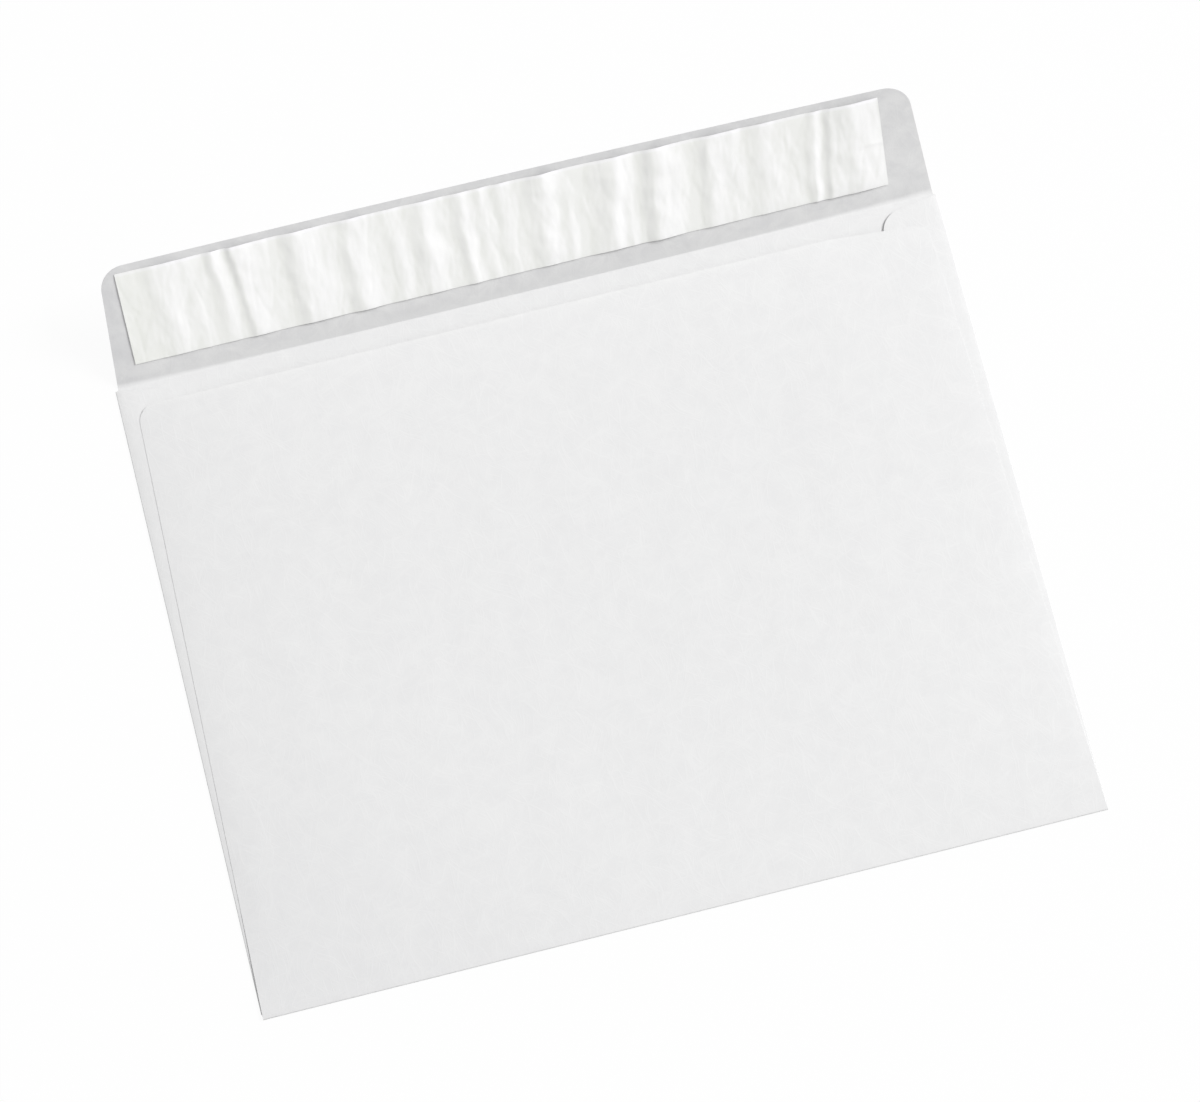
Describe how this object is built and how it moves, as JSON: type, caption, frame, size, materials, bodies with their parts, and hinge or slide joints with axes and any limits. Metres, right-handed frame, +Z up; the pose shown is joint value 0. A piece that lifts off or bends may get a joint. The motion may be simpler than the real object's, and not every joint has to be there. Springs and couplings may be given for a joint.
{
  "type": "mailing envelope",
  "caption": "White unpadded mailing envelope lying seam side up, its seal flap sprung open to show a wrinkled peel-off strip over the adhesive.",
  "frame": {"origin": "middle of the front panel's outer face, which lies on the table, on the pocket's centre lines", "axes": "+Z up out of the table, +Y from the bottom fold to the mouth and the seal flap, +X to the right along the long side, seen from the seam side with the flap at the top"},
  "size_m": [0.3302, 0.2914, 0.0371],
  "materials": {
    "spunbonded_sheet": "matte",
    "release_paper": "satin",
    "pressure_adhesive": "satin",
    "seam_glue": "satin"
  },
  "bodies": {
    "root": {"envelope_sheet": "spunbonded_sheet", "release_strip": "release_paper", "adhesive_band": "pressure_adhesive", "left_seam_glue": "seam_glue", "right_seam_glue": "seam_glue"}
  },
  "joints": []
}
